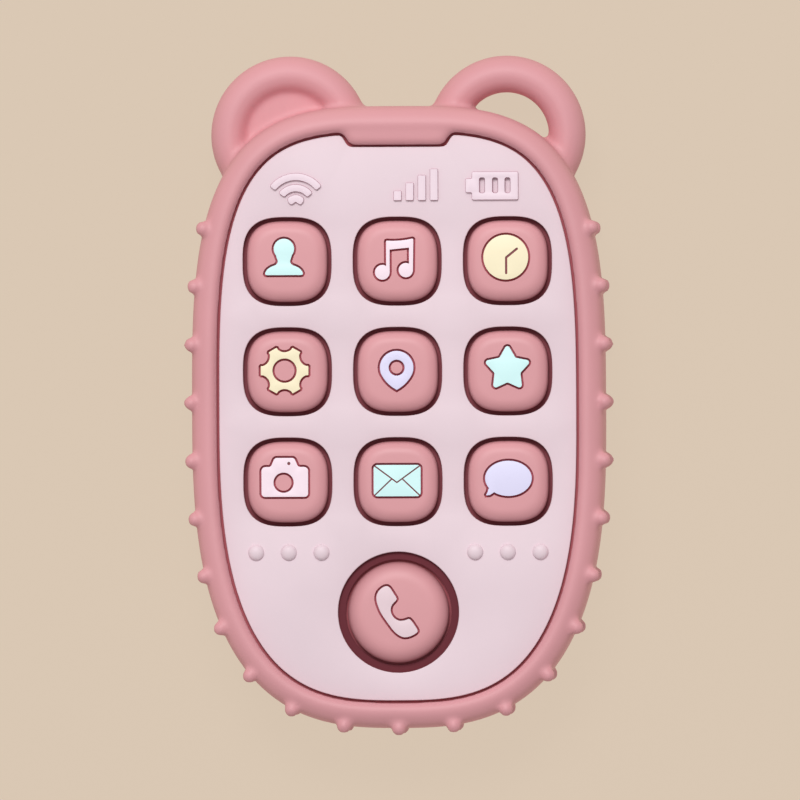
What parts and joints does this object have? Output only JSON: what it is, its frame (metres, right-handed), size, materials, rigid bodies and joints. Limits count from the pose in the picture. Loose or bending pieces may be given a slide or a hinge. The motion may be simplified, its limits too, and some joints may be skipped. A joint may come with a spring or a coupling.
{
  "type": "toy cell phone",
  "caption": "Toddler's toy phone in a soft silicone teether sleeve with bear ears and side bumps; sprung keys with inlaid pictures, speaker, power switch and battery door.",
  "frame": {"origin": "centre of the object's box in plan, on the plane that its back rests on", "axes": "+X across the phone, to the right as seen from the front; +Y up the phone to its ears; +Z out of the face"},
  "size_m": [0.0932, 0.148, 0.0253],
  "materials": {
    "sleeve_silicone": "soft matt",
    "rose_plastic": "satin",
    "pale_plastic": "satin",
    "keypad_rubber": "matt",
    "mint_inlay": "satin",
    "cream_inlay": "satin",
    "lilac_inlay": "satin",
    "blush_inlay": "satin",
    "steel": "zinc plated",
    "plated_tin": "plated",
    "board": "solder mask",
    "black_plastic": "matt",
    "red_wire": "satin",
    "lamp": "clear lens",
    "cell_wrap": "printed film, left plain"
  },
  "bodies": {
    "phone": {"silicone_sleeve": "sleeve_silicone", "front_cover": "pale_plastic", "rear_cover": "pale_plastic", "case_screw_1": "steel", "case_screw_2": "steel", "case_screw_3": "steel", "case_screw_4": "steel", "dome_person": "keypad_rubber", "dome_music": "keypad_rubber", "dome_clock": "keypad_rubber", "dome_gear": "keypad_rubber", "dome_pin": "keypad_rubber", "dome_star": "keypad_rubber", "dome_camera": "keypad_rubber", "dome_mail": "keypad_rubber", "dome_chat": "keypad_rubber", "dome_call": "keypad_rubber", "keypad_sheet": "keypad_rubber", "circuit_board": "board", "sound_chip": "black_plastic", "lamp_left": "lamp", "lamp_right": "lamp", "speaker_frame": "steel", "speaker_cone": "black_plastic", "speaker_magnet": "plated_tin", "switch_body": "plated_tin", "battery_upper": "cell_wrap", "battery_lower": "cell_wrap", "spring_minus": "steel", "spring_bridge": "steel", "contact_bridge": "steel", "contact_minus": "steel", "contact_plus": "steel", "speaker_wire_red": "red_wire", "speaker_wire_black": "black_plastic", "switch_wire_red": "red_wire", "switch_wire_black": "black_plastic"},
    "person_key": {"key_person": "rose_plastic", "icon_person": "mint_inlay"},
    "music_key": {"key_music": "rose_plastic", "icon_music": "blush_inlay"},
    "clock_key": {"key_clock": "rose_plastic", "icon_clock": "cream_inlay"},
    "gear_key": {"key_gear": "rose_plastic", "icon_gear": "cream_inlay"},
    "pin_key": {"key_pin": "rose_plastic", "icon_pin": "lilac_inlay"},
    "star_key": {"key_star": "rose_plastic", "icon_star": "mint_inlay"},
    "camera_key": {"key_camera": "rose_plastic", "icon_camera": "blush_inlay"},
    "mail_key": {"key_mail": "rose_plastic", "icon_mail": "mint_inlay"},
    "chat_key": {"key_chat": "rose_plastic", "icon_chat": "lilac_inlay"},
    "call_key": {"key_call": "rose_plastic", "icon_call": "blush_inlay"},
    "switch": {"switch_knob": "black_plastic"},
    "door": {"battery_door": "pale_plastic"},
    "door_screw": {"battery_door_screw": "steel"}
  },
  "joints": [
    {"name": "press_person", "type": "slide", "parent": "phone", "child": "person_key", "axis": [0, 0, -1], "range_m": [0, 0.0014], "stiffness_N_per_m": 300, "springref_m": -0.0012, "deforming": ["dome_person"]},
    {"name": "press_music", "type": "slide", "parent": "phone", "child": "music_key", "axis": [0, 0, -1], "range_m": [0, 0.0014], "stiffness_N_per_m": 300, "springref_m": -0.0012, "deforming": ["dome_music"]},
    {"name": "press_clock", "type": "slide", "parent": "phone", "child": "clock_key", "axis": [0, 0, -1], "range_m": [0, 0.0014], "stiffness_N_per_m": 300, "springref_m": -0.0012, "deforming": ["dome_clock"]},
    {"name": "press_gear", "type": "slide", "parent": "phone", "child": "gear_key", "axis": [0, 0, -1], "range_m": [0, 0.0014], "stiffness_N_per_m": 300, "springref_m": -0.0012, "deforming": ["dome_gear"]},
    {"name": "press_pin", "type": "slide", "parent": "phone", "child": "pin_key", "axis": [0, 0, -1], "range_m": [0, 0.0014], "stiffness_N_per_m": 300, "springref_m": -0.0012, "deforming": ["dome_pin"]},
    {"name": "press_star", "type": "slide", "parent": "phone", "child": "star_key", "axis": [0, 0, -1], "range_m": [0, 0.0014], "stiffness_N_per_m": 300, "springref_m": -0.0012, "deforming": ["dome_star"]},
    {"name": "press_camera", "type": "slide", "parent": "phone", "child": "camera_key", "axis": [0, 0, -1], "range_m": [0, 0.0014], "stiffness_N_per_m": 300, "springref_m": -0.0012, "deforming": ["dome_camera"]},
    {"name": "press_mail", "type": "slide", "parent": "phone", "child": "mail_key", "axis": [0, 0, -1], "range_m": [0, 0.0014], "stiffness_N_per_m": 300, "springref_m": -0.0012, "deforming": ["dome_mail"]},
    {"name": "press_chat", "type": "slide", "parent": "phone", "child": "chat_key", "axis": [0, 0, -1], "range_m": [0, 0.0014], "stiffness_N_per_m": 300, "springref_m": -0.0012, "deforming": ["dome_chat"]},
    {"name": "press_call", "type": "slide", "parent": "phone", "child": "call_key", "axis": [0, 0, -1], "range_m": [0, 0.0014], "stiffness_N_per_m": 300, "springref_m": -0.0012, "deforming": ["dome_call"]},
    {"name": "switch_slide", "type": "slide", "parent": "phone", "child": "switch", "axis": [1, 0, 0], "range_m": [0, 0.0044]},
    {"name": "battery_door_lift", "type": "slide", "parent": "phone", "child": "door", "axis": [0, 0, -1], "range_m": [0, 0.02]},
    {"name": "battery_door_screw_turn", "type": "hinge", "parent": "door", "child": "door_screw", "pos_m": [0, -0.03997, 0.0014], "axis": [0, 0, 1], "continuous": true}
  ]
}
